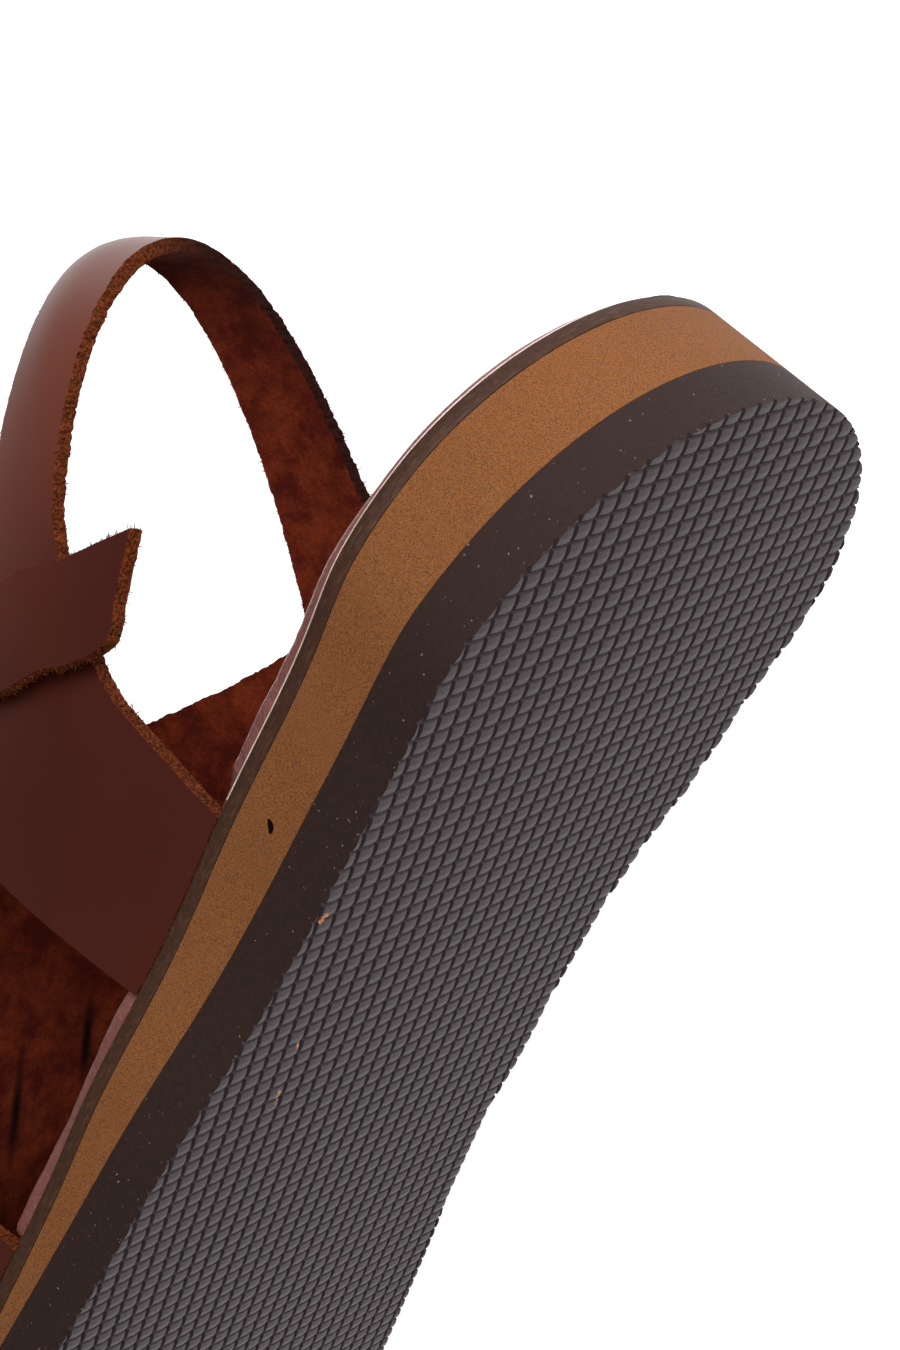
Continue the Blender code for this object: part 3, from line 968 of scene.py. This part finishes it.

# Flesh side: rough suede, mottled from dark to rusty red-brown, with two painted shadow streaks in the
# roof
PAINTED_SHADOW_STREAKS = [
    # centre, half size, turn
    ((151, -9, 53), (10, 1.3, 8), 0.0),
    ((160, 3, 51), (13, 1.3, 8), 0.0),
]
flesh_side = new_material("flesh_side")
spot = shoe_millimetres(flesh_side)
blotch = add_node(flesh_side, "TexNoise", {
    "Vector": spot, "Scale": 0.22, "Detail": 7.0, "Roughness": 0.68,
})
nap = add_node(flesh_side, "TexNoise", {
    "Vector": spot, "Scale": 2.0, "Detail": 4.0, "Roughness": 0.7,
})
patches = add_node(flesh_side, "MapRange", {
    "Value": blotch.outputs["Fac"], "From Min": 0.40, "From Max": 0.62,
})
shade = add_node(flesh_side, "MixRGB", {
    "Fac": patches.outputs[0], "Color1": linear("#4d140b"), "Color2": linear("#7c3016"),
})
napped = add_node(flesh_side, "MixRGB", {
    "Fac": nap.outputs["Fac"], "Color1": linear("#2c0b06"), "Color2": shade.outputs[0],
})
bump = add_node(flesh_side, "Bump", {
    "Height": nap.outputs["Fac"], "Strength": 0.8, "Distance": 0.3 * MM,
})
streaked = napped.outputs[0]
# Two near-black streaks in the roof: painted shadow
for centre, half, turn in PAINTED_SHADOW_STREAKS:
    share = patch(flesh_side, spot, centre, half, turn, 0.3)
    streaked = add_node(flesh_side, "MixRGB", {
        "Fac": share, "Color1": streaked, "Color2": linear("#120403"),
    }).outputs[0]
shader = add_node(flesh_side, "BsdfPrincipled", {
    "Base Color": streaked, "Roughness": 0.95, "IOR": 1.4, "Normal": bump.outputs[0],
    "Specular IOR Level": 0.1,
})
add_node(flesh_side, "OutputMaterial", {"Surface": shader.outputs[0]})

# Raw edge: undyed fibre, orange-brown, matt and fuzzy; towards the medial side it is darkened with
# painted shade
raw_edge = new_material("raw_edge")
spot = shoe_millimetres(raw_edge)
fuzz = add_node(raw_edge, "TexNoise", {"Vector": spot, "Scale": 2.6, "Detail": 3.0, "Roughness": 0.7})
strands = add_node(raw_edge, "MapRange", {
    "Value": fuzz.outputs["Fac"], "From Min": 0.35, "From Max": 0.65,
})
# Painted shade: the edge darkens from 8 mm on the lateral side to 4 mm on the medial side
side = add_node(raw_edge, "SeparateXYZ", {0: spot})
painted_medial_shade = add_node(raw_edge, "MapRange", {
    "Value": side.outputs["Y"], "From Min": 8.0, "From Max": -4.0,
})
fibre = add_node(raw_edge, "MixRGB", {
    "Fac": strands.outputs[0], "Color1": linear("#1e0a05"), "Color2": linear("#6d3315"),
})
shade = add_node(raw_edge, "MixRGB", {
    "Fac": painted_medial_shade.outputs[0], "Color1": fibre.outputs[0], "Color2": linear("#240b06"),
})
bump = add_node(raw_edge, "Bump", {
    "Height": fuzz.outputs["Fac"], "Strength": 0.9, "Distance": 0.3 * MM,
})
shader = add_node(raw_edge, "BsdfPrincipled", {
    "Base Color": shade.outputs[0], "Roughness": 0.95, "IOR": 1.4, "Normal": bump.outputs[0],
    "Specular IOR Level": 0.1,
})
add_node(raw_edge, "OutputMaterial", {"Surface": shader.outputs[0]})


def shell_point(u, v):
    first_fan = ROOF_FAN[0][0]
    final_fan = ROOF_FAN[-1][0]
    return last_point(first_fan + (final_fan - first_fan) * u, math.pi * v)


shell = bmesh.new()
place_grid(shell, SHELL_COLUMNS, SHELL_ROWS, shell_point)
upper = thick_leather(shell, "leather_upper", [grain_side, flesh_side, raw_edge])
cut_to(upper, pattern_knife(raw_edge))
fray(upper)
upper_fibres = grow_fibres(upper, "upper_edge_fibres", 3, SMOOTH_CUT)
finish_piece(upper, "upper_leather", "upper")
finish_piece(upper_fibres, "upper_leather")

# Ankle strap
# A narrow strip of the same leather over the instep, joined to the upper on the medial side; on
# the lateral side its end stands free as a slanted flap.
ANKLE_STRAP_WIDTH = 12.5 * MM
FLAP_LIFT = 2.6 * MM
STRAP_SEAT = 0.25 * MM
FLAP_SLANT = -0.50
FLAP_SHARE = 0.20
FLAP_STRETCH = 60 * MM
FLAP_CORNER = 0.26
SMOOTH_EDGE = 0.35
RAGGED_SHARE = 0.15
RAGGED_END = 0.012
STRAP_COLUMNS = 420
STRAP_ROWS = 32
ANKLE_STRAP = [
    # row, fan, round, lift: middle line on the last
    (0, 133.4, 25.5, 1.00),
    (1, 128.5, 26.3, 1.05),
    (2, 114.0, 28.6, 0.95),
    (3, 101.0, 41.0, 0.40),
    (4, 91.0, 62.0, 0.00),
    (5, 83.0, 90.0, 0.00),
    (6, 82.5, 112.0, 0.00),
    (7, 87.6, 132.0, 0.00),
    (8, 98.0, 147.0, 0.00),
    (9, 109.0, 156.0, 0.00),
]


@functools.lru_cache(None)
def strap_frame(u):
    """Middle, direction along and direction across the strap at a share of its length."""

    def middle_at(t):
        place = t * ANKLE_STRAP[-1][0]
        fan = math.radians(hermite(ANKLE_STRAP, 1, place))
        around = math.radians(hermite(ANKLE_STRAP, 2, place))
        lift = LEATHER - STRAP_SEAT + FLAP_LIFT * hermite(ANKLE_STRAP, 3, place)
        return last_point(fan, around, lift), fan, around, lift

    centre, fan, around, lift = middle_at(u)
    ahead = middle_at(min(u + 0.01, 1.0))[0] - middle_at(max(u - 0.01, 0.0))[0]
    step = math.radians(1)
    by_fan = last_point(fan + step, around, lift) - last_point(fan - step, around, lift)
    by_round = last_point(fan, around + step, lift) - last_point(fan, around - step, lift)
    across = by_round.cross(by_fan).normalized().cross(ahead).normalized()
    return centre, ahead.normalized(), across


def frame_between(place):
    """The strap's frame at any share of its length, from the two nearest columns."""
    column = place * STRAP_COLUMNS
    low = min(int(column), STRAP_COLUMNS - 1)
    pair = zip(strap_frame(low / STRAP_COLUMNS), strap_frame((low + 1) / STRAP_COLUMNS))
    return [first.lerp(second, column - low) for first, second in pair]


def strap_point(u, v):
    """Place on the strap, whose free end is slanted, rounded at one corner and ragged."""
    slant = FLAP_SLANT * (v - 0.5)
    if v < FLAP_CORNER:
        slant += FLAP_CORNER * (1 - math.sqrt(1 - (1 - v / FLAP_CORNER) ** 2))
    slant *= ANKLE_STRAP_WIDTH / FLAP_STRETCH
    place = u + slant * (1 - ease(u / FLAP_SHARE))
    centre, ahead, across = frame_between(max(place, 0.0))
    past_end = min(place, 0.0) * FLAP_STRETCH
    point = centre + across * ANKLE_STRAP_WIDTH * (v - 0.5) + ahead * past_end
    side = round(v)
    rim = centre + across * ANKLE_STRAP_WIDTH * (side - 0.5)
    ragged = max(0.0, 1 - abs(v - side) / RAGGED_SHARE) * (SMOOTH_EDGE if side else 1.0)
    ragged *= ease(u / FLAP_SHARE - 1)
    point += across * RAW_JAG * ragged * torn(rim)
    first, _, first_across = strap_frame(0.0)
    end = first + first_across * ANKLE_STRAP_WIDTH * (v - 0.5)
    point += ahead * RAW_JAG * max(0.0, 1 - u / RAGGED_END) * torn(end)
    return point


strip = bmesh.new()
place_grid(strip, STRAP_COLUMNS, STRAP_ROWS, strap_point)
strap = thick_leather(strip, "ankle_strap", [grain_side, flesh_side, raw_edge])
fray(strap)
strap_fibres = grow_fibres(strap, "strap_edge_fibres", 5)
finish_piece(strap, "upper_leather", "upper")
finish_piece(strap_fibres, "upper_leather")

# Studio
# A plain pale floor under the shoe, an even white surround and two large soft lights, the
# stronger of them behind the heel.
floor_mesh = bmesh.new()
bmesh.ops.create_grid(floor_mesh, x_segments=8, y_segments=8, size=2.0)
pale_floor = new_material("pale_floor")
shader = add_node(pale_floor, "BsdfPrincipled", {
    "Base Color": linear("#f4f4f4"), "Roughness": 0.9,
    "Emission Color": linear("#ffffff"), "Emission Strength": 0.55,
})
add_node(pale_floor, "OutputMaterial", {"Surface": shader.outputs[0]})
floor = object_from(floor_mesh, "studio_floor", [pale_floor])

world = bpy.data.worlds.new("studio")
world.use_nodes = True
world.node_tree.nodes["Background"].inputs["Color"].default_value = (1, 1, 1, 1)
world.node_tree.nodes["Background"].inputs["Strength"].default_value = 0.2
bpy.context.scene.world = world


def soft_light(name, place, target, size, power):
    """A square light of a size in metres, turned to a target."""
    lamp = bpy.data.lights.new(name, "AREA")
    lamp.size = size
    lamp.energy = power
    made = bpy.data.objects.new(name, lamp)
    made.location = place
    made.rotation_euler = (Vector(target) - Vector(place)).to_track_quat("-Z", "Y").to_euler()
    bpy.context.scene.collection.objects.link(made)


HEEL_PART = (-0.05, 0, 0.04)
soft_light("key_light", (-0.85, 0.2, 0.75), HEEL_PART, 0.6, 18)
soft_light("fill_light", (-0.2, 0.9, 0.6), HEEL_PART, 0.9, 4)
bpy.context.scene.view_settings.view_transform = "Standard"
